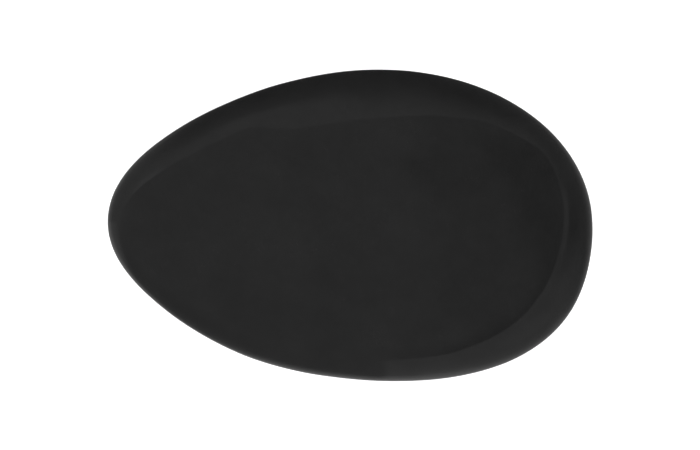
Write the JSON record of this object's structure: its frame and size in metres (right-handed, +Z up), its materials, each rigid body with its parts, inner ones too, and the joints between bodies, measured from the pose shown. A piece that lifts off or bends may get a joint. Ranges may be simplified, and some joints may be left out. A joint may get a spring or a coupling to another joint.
{
  "type": "massage stone",
  "caption": "Egg-shaped, flattened pebble of polished black basalt for hot-stone massage, with rounded edges and a flat face underneath to rest on.",
  "frame": {"origin": "middle of the stone's box in plan, on the surface that it rests on", "axes": "+X along the stone towards its blunt end, +Y across it, +Z up through the crown"},
  "size_m": [0.09, 0.0578, 0.022],
  "materials": {
    "basalt": "polished"
  },
  "bodies": {
    "root": {"stone": "basalt"}
  },
  "joints": []
}
